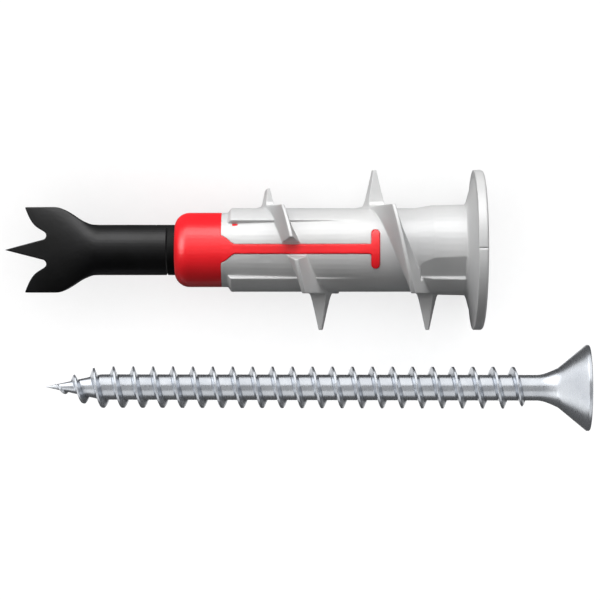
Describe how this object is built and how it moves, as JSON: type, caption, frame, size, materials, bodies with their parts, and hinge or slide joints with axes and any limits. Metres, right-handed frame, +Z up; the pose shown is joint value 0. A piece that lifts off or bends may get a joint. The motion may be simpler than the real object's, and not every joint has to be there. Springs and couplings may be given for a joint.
{
  "type": "wall anchor",
  "caption": "Self-drilling plasterboard anchor: flanged sleeve with a coarse thread, T-armed nose collar and fold-away drill tip, with its countersunk wood screw beside it.",
  "frame": {"origin": "centre of the flange's outer face, on the bore axis: the face the fixed item sits against", "axes": "+X along the bore axis, out of the wall towards the installer; +Z up, away from the surface the anchor and its screw lie on"},
  "size_m": [0.0547, 0.0244, 0.0148],
  "materials": {
    "sleeve_nylon": "light grey moulded nylon, semi-matt",
    "collar_nylon": "bright red moulded nylon, glossy",
    "tip_nylon": "black glass-filled nylon, matt",
    "zinc_steel": "bright zinc plating"
  },
  "bodies": {
    "anchor": {"anchor_sleeve": "sleeve_nylon", "nose_collar": "collar_nylon", "tip_socket": "tip_nylon", "tip_hinge_strap": "tip_nylon"},
    "drill_tip": {"drill_tip": "tip_nylon"},
    "screw": {"screw": "zinc_steel"}
  },
  "joints": [
    {"name": "drill_tip_fold", "type": "hinge", "parent": "anchor", "child": "drill_tip", "pos_m": [-0.02916, 0.00233, 0], "axis": [0, 0, -1], "range_deg": [0, 90], "deforming": ["tip_hinge_strap"]},
    {"name": "screw_turn", "type": "hinge", "parent": "anchor", "child": "screw", "pos_m": [-0.04117, -0.0129, -0.00568], "axis": [0.999, 0, 0.0453], "continuous": true}
  ]
}
